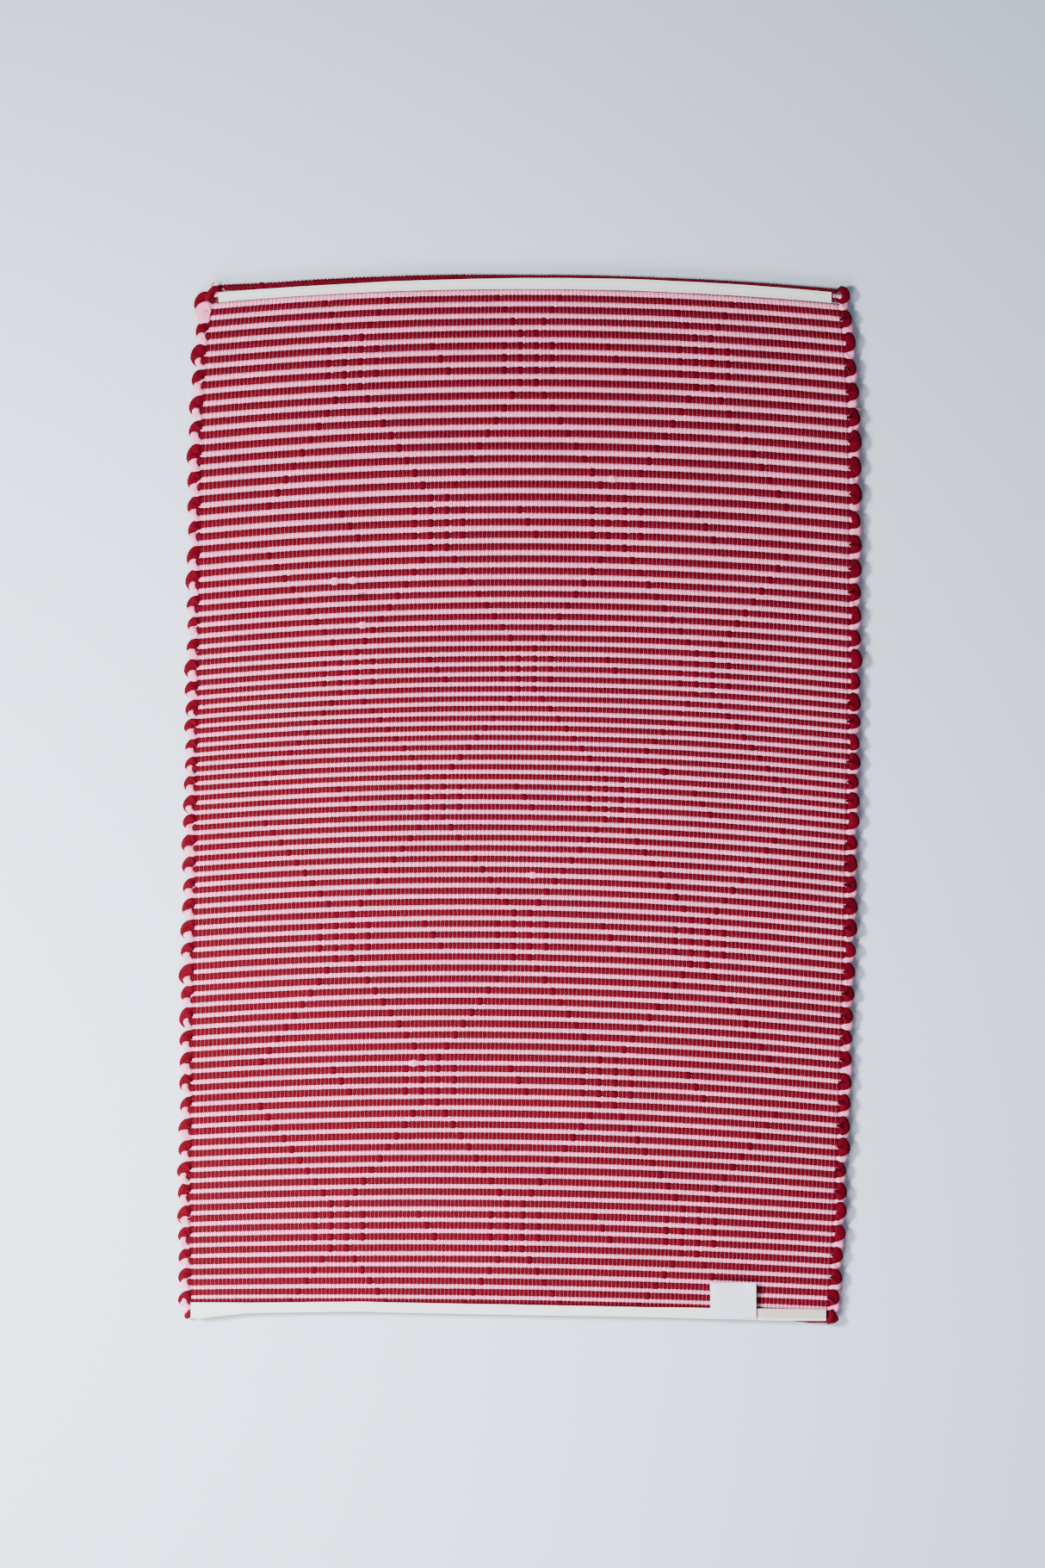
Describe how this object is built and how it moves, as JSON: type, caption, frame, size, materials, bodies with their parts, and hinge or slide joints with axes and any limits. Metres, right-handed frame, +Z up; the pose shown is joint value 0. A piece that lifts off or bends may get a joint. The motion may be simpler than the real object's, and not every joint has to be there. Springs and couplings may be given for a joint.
{
  "type": "bath mat",
  "caption": "Handwoven rectangular cotton bath mat in two-colour stripes with a pulled-loop lattice on its face, taped ends and a sewn care label, lying reverse side up; it folds in half.",
  "frame": {"origin": "centre of the bounding box on the floor, under the middle of the mat, with the face side's loops at height 0", "axes": "+X across the mat along its weft rows, +Y along its warp towards the end with no label, +Z up out of its reverse side"},
  "size_m": [0.533, 0.8183, 0.0115],
  "materials": {
    "red_cotton": "crimson thick soft cotton rug yarn, matt and slightly fuzzy",
    "pink_cotton": "pale pink thick soft cotton rug yarn, matt and slightly fuzzy",
    "warp_cotton": "pale pink fine twisted cotton warp thread, matt",
    "hem_tape": "cream woven twill tape, matt",
    "sewing_thread": "cream sewing thread, slight sheen",
    "label_cloth": "white smooth woven label cloth, plain, slight sheen"
  },
  "bodies": {
    "lower_half": {"weft_red_4": "red_cotton", "weft_red_5": "red_cotton", "weft_pink_3": "pink_cotton", "weft_pink_4": "pink_cotton", "warp_lower_1": "warp_cotton", "warp_lower_2": "warp_cotton", "warp_lower_3": "warp_cotton", "warp_lower_4": "warp_cotton", "hem_tape_lower": "hem_tape", "hem_seam_lower_outer": "sewing_thread", "hem_seam_lower_inner": "sewing_thread", "label_foot": "label_cloth", "label_seam": "sewing_thread"},
    "upper_half": {"weft_red_1": "red_cotton", "weft_red_2": "red_cotton", "weft_red_3": "red_cotton", "weft_pink_1": "pink_cotton", "weft_pink_2": "pink_cotton", "warp_upper_1": "warp_cotton", "warp_upper_2": "warp_cotton", "warp_upper_3": "warp_cotton", "warp_upper_4": "warp_cotton", "hem_tape_upper": "hem_tape", "hem_seam_upper_outer": "sewing_thread", "hem_seam_upper_inner": "sewing_thread"},
    "care_label": {"label_leaf_back": "label_cloth", "label_leaf_front": "label_cloth"}
  },
  "joints": [
    {"name": "mat_fold", "type": "hinge", "parent": "lower_half", "child": "upper_half", "pos_m": [0, 0.00183, 0.0195], "axis": [1, 0, 0], "range_deg": [0, 175]},
    {"name": "label_flip", "type": "hinge", "parent": "lower_half", "child": "care_label", "pos_m": [0.166, -0.40346, 0.0117], "axis": [1, 0, 0], "range_deg": [0, 175]}
  ]
}
